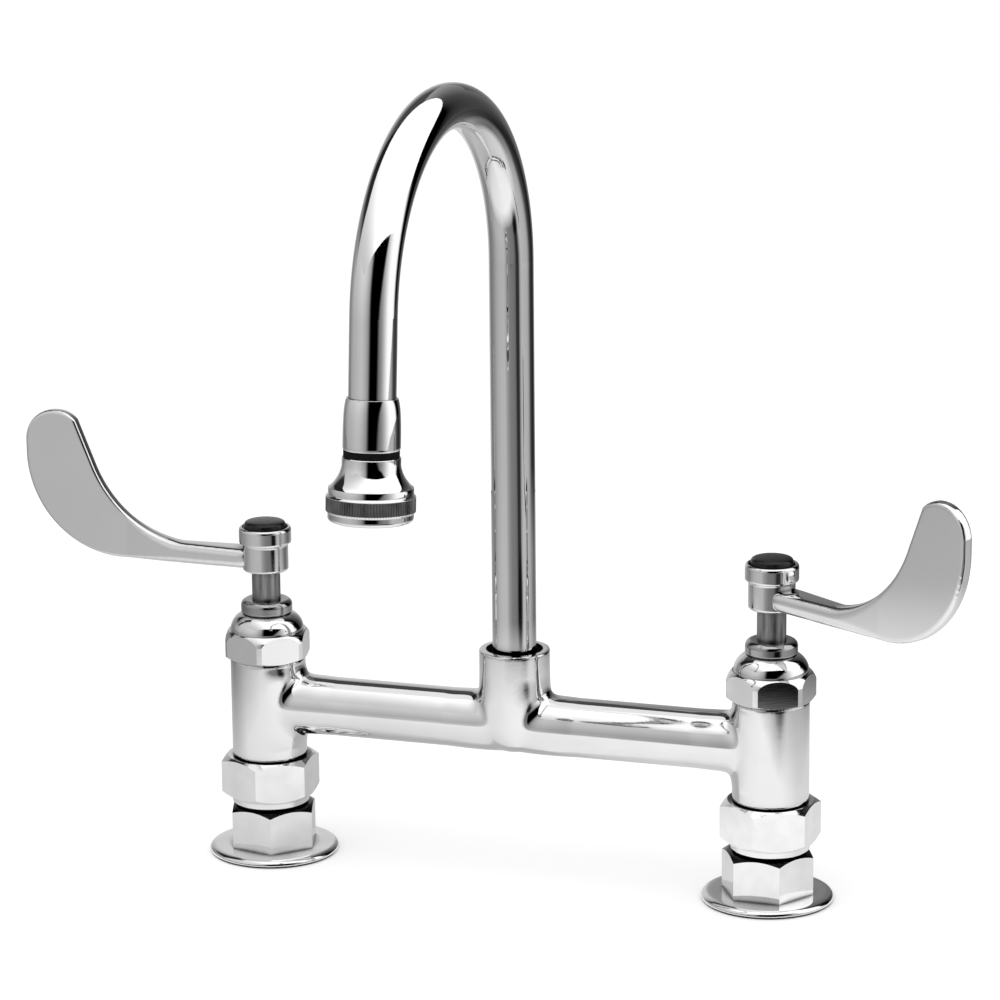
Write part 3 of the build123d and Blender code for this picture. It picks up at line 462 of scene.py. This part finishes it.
def roseChrome(down):
    # chrome with a dull, dark ribbed band
    material = makeChrome("roseChrome", metalFinishes["turnedChrome"])
    tree = material.node_tree
    shader = tree.nodes["Principled BSDF"]
    spot = tree.nodes.new("ShaderNodeTexCoord").outputs["Object"]
    depth = measured(tree, "DOT_PRODUCT", spot, down)
    start = Vector(rose["top"]).dot(down)
    bandFrom, bandTo = [start + place * mm for place in rose["band"]]
    settings = rose["bandLook"]
    edge = settings["edge"]
    entered = ranged(tree, depth, 0.0, 1.0, bandFrom - edge, bandFrom + edge)
    left = ranged(tree, depth, 1.0, 0.0, bandTo - edge, bandTo + edge)
    inBand = combined(tree, "MULTIPLY", entered, left)
    # the band is toned dark and dull, its colour and gloss following a cloud
    bandCloudPlace = stretched(tree, spot, settings["stretch"])
    bandCloud = noise(tree, bandCloudPlace, settings["cloudScale"], settings["cloudDetail"])
    looks = {
        "Base Color": ("RGBA", clouded(tree, bandCloud, settings)),
        "Roughness": ("FLOAT", ranged(tree, bandCloud, *settings["gloss"])),
    }
    for name, (kind, look) in looks.items():
        plain = shader.inputs[name].links[0].from_socket
        tree.links.new(mixed(tree, inBand, plain, look, kind), shader.inputs[name])
    return material


rosePiece = turnedPiece("roseShell", rose["rings"], rose["ribs"] * rose["stepsPerRib"], down=True)
bandTop, bandEnd = [-depth * mm for depth in rose["band"]]
for face in rosePiece.data.polygons:
    x, y, z = face.center
    inBand = bandEnd < z < bandTop and face.center.xy.length > rose["bandInside"] * mm
    column = math.floor(math.atan2(y, x) / math.pi * rose["ribs"] * rose["stepsPerRib"] / 2)
    face.select = inBand and column % rose["stepsPerRib"] == 0
bpy.ops.object.mode_set(mode="EDIT")
bpy.ops.mesh.select_mode(type="FACE")
bpy.ops.transform.shrink_fatten(value=-rose["ribDepth"])
bpy.ops.object.mode_set(mode="OBJECT")
roseDown = Vector(rose["down"]).normalized()
roseTurn = Vector((0, 0, -1)).rotation_difference(roseDown).to_euler()
setDown(rosePiece, rose["top"], roseTurn)
finished(rosePiece, "rose_housing", "gooseneck", roseChrome(roseDown), rose["creaseOver"])

collar = {
    "rings": [
        (8.6, 5.0), (8.6, -20.8), (8.95, -20.8), (9.12, -20.7), (9.3, -20.1), (9.5, -19.2), (9.68, -18.2),
        (9.83, -17.0), (9.95, -15.6), (10.05, -14.0), (10.12, -12.0), (10.17, -10.0), (10.2, -8.0),
        (10.2, -3.8), (10.2, -3.3), (10.12, -3.0), (9.9, -2.6), (9.7, -2.4), (9.05, -2.4),
        (9.05, 5.0), (8.6, 5.0),
    ],
    "creaseOver": 40,
}
collarPiece = turnedPiece("outletCollar", collar["rings"], down=True)
setDown(collarPiece, rose["top"], roseTurn)
finished(collarPiece, "outlet_collar", "gooseneck", finishes["tubeChrome"], collar["creaseOver"])
print("rose and collar turned")

button = {
    "rings": [
        (7.6, 0.0), (7.9, 0.0), (8.1, 0.2), (8.1, 3.3), (8.0, 3.8), (7.7, 4.3), (7.2, 4.6), (6.2, 4.8),
        (4.3, 4.95), (2.0, 5.05),
    ],
    "foot": 129.3,
    "creaseOver": 40,
}
hub = {
    "rings": [
        (4.6, 0.1), (7.8, 0.0), (8.4, 0.2), (8.8, 0.6), (8.9, 1.0), (8.9, 1.3), (8.9, 10.0), (8.9, 10.3),
        (9.0, 10.7), (9.3, 11.0), (9.8, 11.1), (10.1, 11.35), (10.2, 11.8), (10.2, 12.1), (10.2, 16.0),
        (10.2, 16.3), (10.1, 16.9), (9.8, 17.35), (9.4, 17.55), (9.0, 17.5), (8.75, 17.2), (8.7, 16.6),
        (8.7, 15.0), (5.0, 15.0),
    ],
    "foot": 114.3,
    "creaseOver": 35,
}
handleSides = {  # the stem's axis in metres, how much higher that hub stands, and which way its arm points
    "hot": {"axis": (-0.1016, 0.0), "raise": 0.0, "arm": (-1.0, 0.0)},
    "cold": {"axis": (0.1016, 0.0), "raise": 0.565, "arm": (0.850, -0.527)},
}
arm = {
    "cut": 0.0099,  # the CAD handle is kept from here outwards
    "intoHub": 0.004,
    "voxel": 0.00042,
    "round": (0.036, 0.062),  # round up to the first, flat past the second
    "swell": 0.0006,
    "roundTimes": 90,
    "evenTimes": 8,
    "creaseOver": 60,
}

for side, plan in handleSides.items():
    x, y = plan["axis"]
    lifted = plan["raise"] * mm
    handle, body = side + "_handle", side + "_turning_set"
    hubPiece = turnedPiece(side + "Hub", hub["rings"])
    setDown(hubPiece, (x, y, hub["foot"] * mm + lifted))
    finished(hubPiece, handle, body, finishes["turnedChrome"], hub["creaseOver"])
    buttonPiece = turnedPiece(side + "Button", button["rings"])
    setDown(buttonPiece, (x, y, button["foot"] * mm + lifted))
    finished(
        buttonPiece, side + "_index_button", body, finishes["buttonPlastic"],
        button["creaseOver"])

    axis = Vector((x, y, 0.0))
    out = Vector((*plan["arm"], 0.0)).normalized()
    armPiece = mergedCopy(side + "Arm", nodes[handle])
    bpy.ops.object.mode_set(mode="EDIT")
    bpy.ops.mesh.select_all(action="SELECT")
    bpy.ops.mesh.bisect(plane_co=axis + out * arm["cut"], plane_no=out, use_fill=True, clear_inner=True)
    bpy.ops.mesh.extrude_region_move(TRANSFORM_OT_translate={"value": -out * arm["intoHub"]})
    bpy.ops.mesh.select_all(action="SELECT")
    bpy.ops.mesh.normals_make_consistent(inside=False)
    bpy.ops.object.mode_set(mode="OBJECT")
    resurfaced(armPiece, arm["voxel"])
    evened(armPiece, arm["evenTimes"])
    rounded = weighted(armPiece, "rounded", lambda spot: 1.0 - eased((spot - axis).dot(out), *arm["round"]))
    applied(armPiece, "DISPLACE", strength=arm["swell"], mid_level=0.0, vertex_group=rounded)
    evened(armPiece, arm["roundTimes"], rounded)
    armPiece.vertex_groups.clear()
    finished(armPiece, handle, body, finishes["handleChrome"], arm["creaseOver"])
    print(side, "handle shaped,", len(armPiece.data.polygons), "faces")

inlet = {
    "centres": {"hot": -100.6, "cold": 100.6},
    "rings": [
        (12.0, 0.0001), (24.6, 0.0001), (25.1, 0.2), (25.36, 0.6), (25.4, 1.0), (25.3, 1.5), (25.05, 2.0),
        (24.6, 2.45), (24.0, 2.78), (23.2, 2.98), (22.3, 3.06), (21.0, 3.08), (12.0, 3.08), (12.0, 0.0001),
    ],
    "steps": 128,
    "plainRim": {"under": 3.2, "beyond": 20.6},  # the CAD rim, which is tucked into the turned flange
    "tuck": (0.8, 0.8, 0.9),
    "tuckHeight": 1.5,
    "creaseOver": 35,
}

for side, place in inlet["centres"].items():
    fitting = side + "_inlet_fitting"
    inletPiece = mergedCopy(side + "Inlet", nodes[fitting])
    centre = Vector((place * mm, 0, 0))
    under, beyond = inlet["plainRim"]["under"] * mm, inlet["plainRim"]["beyond"] * mm
    for vertex in inletPiece.data.vertices:
        vertex.select = vertex.co.z < under and (vertex.co - centre).xy.length > beyond
    bpy.ops.object.mode_set(mode="EDIT")
    bpy.ops.mesh.select_mode(type="VERT")
    bpy.ops.transform.resize(value=inlet["tuck"], center_override=(place * mm, 0, inlet["tuckHeight"] * mm))
    bpy.ops.object.mode_set(mode="OBJECT")
    flangePiece = turnedPiece(side + "Flange", inlet["rings"], inlet["steps"])
    setDown(flangePiece, centre)
    inletPiece = joined(side + "Inlet", [inletPiece, flangePiece])
    finished(inletPiece, fitting, "body", finishes["inletChrome"], inlet["creaseOver"])
print("inlets shaped")

bridge = {
    "columnAt": 101.6,
    "column": {"radius": 14.65, "bore": 10.6, "foot": 39.9, "top": 79.3},
    "bar": {"radius": 11.4, "bore": 7.6, "height": 61.2},
    "boss": {"radius": 13.6, "bore": 11.0, "boreFrom": 72.0, "top": 90.8},
    "sides": 96,
    "drillPast": 2,
    "voxel": 0.00055,
    "evenTimes": 8,
    "swell": 0.0005,
    "joinTimes": 170,
    # where the casting is blended, out from the middle and up: each pair is an easing's start and end
    "nearColumn": {"outStart": (72, 84), "outEnd": (93, 99), "upStart": (44, 48), "upEnd": (74, 78)},
    "nearBoss": {"outStart": (3, 10), "outEnd": (17, 27), "upEnd": (70, 82)},
    "creaseOver": 40,
}
column, bar, boss = bridge["column"], bridge["bar"], bridge["boss"]
columnAt = bridge["columnAt"]


def rodded(radius, start, end):
    # a plain rod between two points, in millimetres
    way = Vector(end) - Vector(start)
    bpy.ops.object.select_all(action="DESELECT")
    bpy.ops.mesh.primitive_cylinder_add(vertices=bridge["sides"], radius=radius * mm, depth=way.length * mm)
    rod = bpy.context.active_object
    setDown(rod, (Vector(start) + way / 2) * mm, way.to_track_quat("Z", "Y").to_euler())
    return rod


def uprights(radius, past=0):
    # a rod up each column's axis, drawn past both of its ends
    low, high = column["foot"] - past, column["top"] + past
    return [rodded(radius, (place, 0, low), (place, 0, high)) for place in (-columnAt, columnAt)]


def nearJoint(spot):
    out, up = abs(spot.x) / mm, spot.z / mm
    zone = bridge["nearColumn"]
    byColumn = eased(out, *zone["outStart"]) * (1 - eased(out, *zone["outEnd"]))
    byColumn = byColumn * eased(up, *zone["upStart"]) * (1 - eased(up, *zone["upEnd"]))
    zone = bridge["nearBoss"]
    byBoss = eased(out, *zone["outStart"]) * (1 - eased(out, *zone["outEnd"]))
    byBoss = byBoss * (1 - eased(up, *zone["upEnd"]))
    return max(byColumn, byBoss)


barEnds = (-columnAt, 0, bar["height"]), (columnAt, 0, bar["height"])
solids = uprights(column["radius"])
solids.append(rodded(bar["radius"], *barEnds))
solids.append(rodded(boss["radius"], (0, 0, bar["height"]), (0, 0, boss["top"])))
bpy.ops.object.select_all(action="DESELECT")
bpy.ops.mesh.primitive_uv_sphere_add(
    segments=bridge["sides"], ring_count=bridge["sides"] // 2,
    radius=boss["radius"] * mm, location=(0, 0, bar["height"] * mm))
bossUnder = bpy.context.active_object
bossUnder.scale = (1, 1, bar["radius"] / boss["radius"])
setDown(bossUnder, bossUnder.location)
solids.append(bossUnder)
bridgePiece = joined("bridgeShell", solids)
resurfaced(bridgePiece, bridge["voxel"])
evened(bridgePiece, bridge["evenTimes"])
joints = weighted(bridgePiece, "joints", nearJoint)
applied(bridgePiece, "DISPLACE", strength=bridge["swell"], mid_level=0.0, vertex_group=joints)
evened(bridgePiece, bridge["joinTimes"], joints)
bridgePiece.vertex_groups.clear()

past = bridge["drillPast"]
bores = uprights(column["bore"], past)
bores.append(rodded(bar["bore"], *barEnds))
bores.append(rodded(boss["bore"], (0, 0, boss["boreFrom"]), (0, 0, boss["top"] + past)))
for drill in bores:
    applied(bridgePiece, "BOOLEAN", operation="DIFFERENCE", object=drill, solver="EXACT")
    bpy.data.objects.remove(drill)
finished(bridgePiece, "bridge_body", "body", finishes["castChrome"], bridge["creaseOver"])
print("bridge shaped,", len(bridgePiece.data.polygons), "faces")

studio = {
    "roomLevel": 0.8,
    "floorSize": 30,
    "floorColour": 0.8,
    "floorLift": 0.35,
    "facing": -71.95,  # the camera's side, from which the turns of the walls and the gel are counted
}


def seenRays(tree):
    # 1 for what the camera, a reflection or a clear piece sees, 0 for the light on the object
    path = tree.nodes.new("ShaderNodeLightPath")
    seen = combined(tree, "MAXIMUM", path.outputs["Is Camera Ray"], path.outputs["Is Glossy Ray"])
    return combined(tree, "MAXIMUM", seen, path.outputs["Is Transmission Ray"])


room = bpy.data.worlds.new("paleRoom")
bpy.context.scene.world = room
room.use_nodes = True
tree = room.node_tree
plain = tree.nodes["Background"]
plain.inputs["Color"].default_value = (1, 1, 1, 1)
plain.inputs["Strength"].default_value = studio["roomLevel"]
white = tree.nodes.new("ShaderNodeBackground")
white.inputs["Color"].default_value = (1, 1, 1, 1)
white.inputs["Strength"].default_value = 1.0
mix = tree.nodes.new("ShaderNodeMixShader")
tree.links.new(seenRays(tree), mix.inputs["Fac"])
tree.links.new(plain.outputs[0], mix.inputs[1])
tree.links.new(white.outputs[0], mix.inputs[2])
tree.links.new(mix.outputs[0], tree.nodes["World Output"].inputs["Surface"])

bpy.ops.mesh.primitive_plane_add(size=studio["floorSize"])
floor = bpy.context.active_object
floor.name = "floor"
floorPaint, tree, shader, spot = newMaterial("floorPaint")
level = studio["floorColour"]
shader.inputs["Base Color"].default_value = (level, level, level, 1)
shader.inputs["Roughness"].default_value = 1.0
shader.inputs["Specular IOR Level"].default_value = 0.0
lift = tree.nodes.new("ShaderNodeEmission")
tree.links.new(combined(tree, "MULTIPLY", seenRays(tree), studio["floorLift"]), lift.inputs["Strength"])
both = tree.nodes.new("ShaderNodeAddShader")
tree.links.new(shader.outputs[0], both.inputs[0])
tree.links.new(lift.outputs[0], both.inputs[1])
tree.links.new(both.outputs[0], tree.nodes["Material Output"].inputs["Surface"])
floor.data.materials.append(floorPaint)

lamp = {"place": (-0.3, -0.5, 1.6), "aim": (0, 0, 0.1), "size": 1.6, "energy": 6.0}
bpy.ops.object.light_add(type="AREA", location=lamp["place"])
softLamp = bpy.context.active_object
softLamp.name = "softLamp"
softLamp.data.shape = "DISK"
softLamp.data.size = lamp["size"]
softLamp.data.energy = lamp["energy"]
softLamp.rotation_euler = (Vector(lamp["place"]) - Vector(lamp["aim"])).to_track_quat("Z", "Y").to_euler()
softLamp.visible_glossy = False


def onlyInMetal(board):
    board.visible_camera = False
    board.visible_diffuse = False
    board.visible_shadow = False
    board.visible_transmission = False
    board.visible_volume_scatter = False


def addBoard(name, start, end, fromTurn, toTurn, steps=48):
    # the line from start to end, each (reach, height), is swept round the set between two turns
    swing = toTurn - fromTurn
    turns = [math.radians(studio["facing"] + fromTurn + swing * k / steps) for k in range(steps + 1)]
    points = [
        (reach * math.cos(turn), reach * math.sin(turn), height)
        for turn in turns for reach, height in (start, end)
    ]
    mesh = bpy.data.meshes.new(name)
    mesh.from_pydata(points, [], [(2 * k, 2 * k + 2, 2 * k + 3, 2 * k + 1) for k in range(steps)])
    board = bpy.data.objects.new(name, mesh)
    bpy.context.scene.collection.objects.link(board)
    onlyInMetal(board)
    return board


def painted(board, name, kind, colourOf):
    paint, tree, shader, spot = newMaterial(name)
    tree.nodes.remove(shader)
    plain = tree.nodes.new(kind)
    tree.links.new(colourOf(tree, spot), plain.inputs["Color"])
    tree.links.new(plain.outputs[0], tree.nodes["Material Output"].inputs["Surface"])
    board.data.materials.append(paint)


def glowing(board, colourOf):
    painted(board, board.name + "Paint", "ShaderNodeEmission", colourOf)


def turnOf(tree, spot):
    sweep = tree.nodes.new("ShaderNodeTexGradient")
    sweep.gradient_type = "RADIAL"
    facing = stretched(tree, spot, turn=(0, 0, -math.radians(studio["facing"])))
    tree.links.new(facing, sweep.inputs["Vector"])
    return sweep.outputs["Fac"]


def swept(stops):
    # degrees from -180 to 180 become a ramp's 0 to 1
    return [(turn / 360 + 0.5, level) for turn, level in stops]


# A sweep gives the level at each turn in degrees, a rise its share at each height, and an edge, leaning
# by its slant in degrees a metre, cuts into both. A ramp holds no more than 1, so sweeps are written at
# half their level, rises are halved on the way in, and the gain gives both back.
wallSize = {"reach": 1.25, "top": 2.0, "rampTop": 2.0, "riseShare": 0.5, "gain": 4.0, "leanAbout": 0.35}
walls = {
    "rearLeftWall": {
        "turns": (-180, -142),
        "sweep": [(-180, 0.16), (-165, 0.14), (-150, 0.13), (-142, 0.14)],
        "rise": [(0.0, 1.2), (0.5, 1.1), (0.8, 0.7), (1.0, 0.25), (2.0, 0.25)],
    },
    "leftRearWall": {
        "turns": (-142, -105),
        "sweep": [(-142, 0.16), (-127, 0.17), (-112, 0.25), (-105, 0.27)],
        "rise": [(0.0, 0.8), (0.32, 0.95), (0.44, 0.75), (0.54, 0.25), (0.66, 0.06), (2.0, 0.05)],
    },
    "leftWall": {
        "turns": (-105, -11),
        "sweep": [
            (-105, 0.27), (-97, 0.30), (-82, 0.31), (-67, 0.34), (-52, 0.36), (-37, 0.31), (-22, 0.19),
            (-15, 0.03), (-12, 0.0),
        ],
        "rise": [(0.0, 0.8), (0.3, 1.0), (0.6, 1.15), (2.0, 1.25)],
    },
    "frontGap": {
        "turns": (-12, 76),
        "sweep": [
            (-14, 0.0), (10, 0.03), (25, 0.10), (37, 0.18), (46, 0.29), (53, 0.39), (62, 0.54), (70, 0.63),
            (90, 0.64),
        ],
        "rise": [(0.0, 1.0), (2.0, 1.0)],
        "edge": [(-14, 0.0), (24, 0.0), (28, 0.3), (33, 1.0)],
        "slant": 42.0,
    },
    "rightWall": {
        "turns": (75, 180),
        "sweep": [
            (70, 0.63), (95, 0.63), (100, 0.58), (106, 0.52), (112, 0.14), (116, 0.0), (125, 0.0),
            (131, 0.02), (142, 0.04), (157, 0.09), (172, 0.15), (180, 0.18),
        ],
        "rise": [(0.0, 1.0), (2.0, 1.0)],
        "edge": [(98, 1.0), (103, 0.5), (107, 0.02), (110, 0.0), (121, 0.0), (127, 1.0)],
        "slant": -22.0,
    },
    # a low pale screen stands close behind
    "backScreenLeft": {
        "reach": 0.60,
        "top": 0.50,
        "turns": (-180, -140),
        "sweep": [(-180, 0.33), (-172, 0.34), (-160, 0.34), (-150, 0.26), (-140, 0.20)],
        "rise": [(0.0, 1.1), (0.3, 0.95), (0.45, 0.65), (0.5, 0.5), (2.0, 0.5)],
    },
    "backScreenRight": {
        "reach": 0.60,
        "top": 0.50,
        "turns": (155, 180),
        "sweep": [(150, 0.06), (160, 0.10), (167, 0.13), (175, 0.20), (180, 0.33)],
        "rise": [(0.0, 1.1), (0.3, 0.95), (0.45, 0.65), (0.5, 0.5), (2.0, 0.5)],
    },
}


def wallColour(wall):
    def colourOf(tree, spot):
        height, turn = axisOf(tree, spot, "Z"), turnOf(tree, spot)
        rampTop, share = wallSize["rampTop"], wallSize["riseShare"]
        rise = [(place / rampTop, level * share) for place, level in wall["rise"]]
        climbing = toned(tree, ranged(tree, height, 0.0, 1.0, 0.0, rampTop), rise)
        level = combined(tree, "MULTIPLY", toned(tree, turn, swept(wall["sweep"])), climbing)
        if "edge" in wall:
            over = combined(tree, "SUBTRACT", height, wallSize["leanAbout"])
            lean = combined(tree, "MULTIPLY", over, -wall["slant"] / 360)
            leant = toned(tree, combined(tree, "ADD", turn, lean), swept(wall["edge"]))
            level = combined(tree, "MULTIPLY", level, leant)
        return combined(tree, "MULTIPLY", level, wallSize["gain"])
    return colourOf


for name, wall in walls.items():
    reach, top = wall.get("reach", wallSize["reach"]), wall.get("top", wallSize["top"])
    glowing(addBoard(name, (reach, 0.0), (reach, top), *wall["turns"]), wallColour(wall))

overhead = {
    "height": 0.48,
    "turn": 27.0,
    "long": (-0.75, 1.35),
    "deep": (-0.435, 0.08),
    "fade": [(0.0, 0.34), (0.12, 0.38), (0.17, 0.42), (0.22, 0.52), (0.27, 0.68), (1.0, 0.70)],
    "gain": 2.0,  # the fade is written at half its level
}
bpy.ops.mesh.primitive_plane_add(size=1)
softBox = bpy.context.active_object
softBox.name = "softBox"
longFrom, longTo = overhead["long"]
deepFrom, deepTo = overhead["deep"]
bpy.ops.transform.resize(value=(longTo - longFrom, deepTo - deepFrom, 1))
bpy.ops.transform.translate(value=((longFrom + longTo) / 2, (deepFrom + deepTo) / 2, overhead["height"]))
bpy.ops.object.transform_apply(location=True, rotation=False, scale=True)
softBox.rotation_euler = (0, 0, math.radians(overhead["turn"]))
onlyInMetal(softBox)


def softBoxColour(tree, spot):
    along = ranged(tree, axisOf(tree, spot, "X"), 0.0, 1.0, longFrom, longTo)
    return combined(tree, "MULTIPLY", toned(tree, along, overhead["fade"]), overhead["gain"])


glowing(softBox, softBoxColour)

# grey gel over the table: how much of the white each part of it gives back
tableGel = {
    "height": 0.0015,
    "reach": 1.5,
    "near": [
        (-180, 0.54), (-120, 0.54), (-105, 0.60), (-92, 0.72), (-82, 0.82), (-50, 0.88), (-20, 0.96),
        (0, 1.0), (45, 1.0), (60, 0.92), (75, 0.8), (100, 0.76), (130, 0.66), (150, 0.56), (180, 0.54),
    ],
    "far": [
        (-180, 0.50), (-157, 0.42), (-142, 0.30), (-120, 0.24), (-97, 0.36), (-82, 0.46), (-60, 0.52),
        (-37, 0.52), (-22, 0.32), (-8, 0.22), (12, 0.19), (20, 0.14), (25, 0.03), (37, 0.03), (44, 0.34),
        (52, 0.55), (82, 0.50), (97, 0.42), (112, 0.26), (127, 0.15), (142, 0.20), (160, 0.36), (180, 0.50),
    ],
    "fade": (0.24, 0.36),  # from near to far
    "edge": [
        (-180, 0.8), (-15, 1.0), (90, 1.0), (100, 0.7), (108, 0.25), (127, 0.12), (140, 0.3), (150, 0.45),
        (165, 0.6), (180, 0.8),
    ],
    "edgeFade": (0.48, 0.66),
    "patch": (0.318, -0.250, 0.0),
    "patchTone": [(0.0, 0.18), (0.055, 0.22), (0.11, 1.0)],
    # painted shadow of the object on the table, seen only in the metal
    "paintedShade": {"samples": 8, "reach": 0.045, "tones": [(0.15, 0.25), (0.6, 1.0)]},
}


def gelColour(tree, spot):
    turn, reach = turnOf(tree, spot), measured(tree, "LENGTH", spot)
    near, far, edge = [toned(tree, turn, swept(tableGel[zone])) for zone in ("near", "far", "edge")]
    inner = mixed(tree, ranged(tree, reach, 0.0, 1.0, *tableGel["fade"]), near, far)
    outer = mixed(tree, ranged(tree, reach, 0.0, 1.0, *tableGel["edgeFade"]), (1, 1, 1, 1), edge)
    fromPatch = measured(tree, "DISTANCE", spot, tableGel["patch"])
    patched = multiplied(tree, outer, toned(tree, fromPatch, tableGel["patchTone"]))
    # painted shadow: the table seen in the metal darkens where the object stands close over it
    return multiplied(tree, inner, paintedCloseShade(tree, patched, tableGel["paintedShade"]))


gelEdge = (tableGel["reach"], tableGel["height"])
tableShade = addBoard("tableShade", (0.0, tableGel["height"]), gelEdge, -180, 180)
painted(tableShade, "tableGelPaint", "ShaderNodeBsdfTransparent", gelColour)
print("studio set")

bpy.context.view_layer.update()
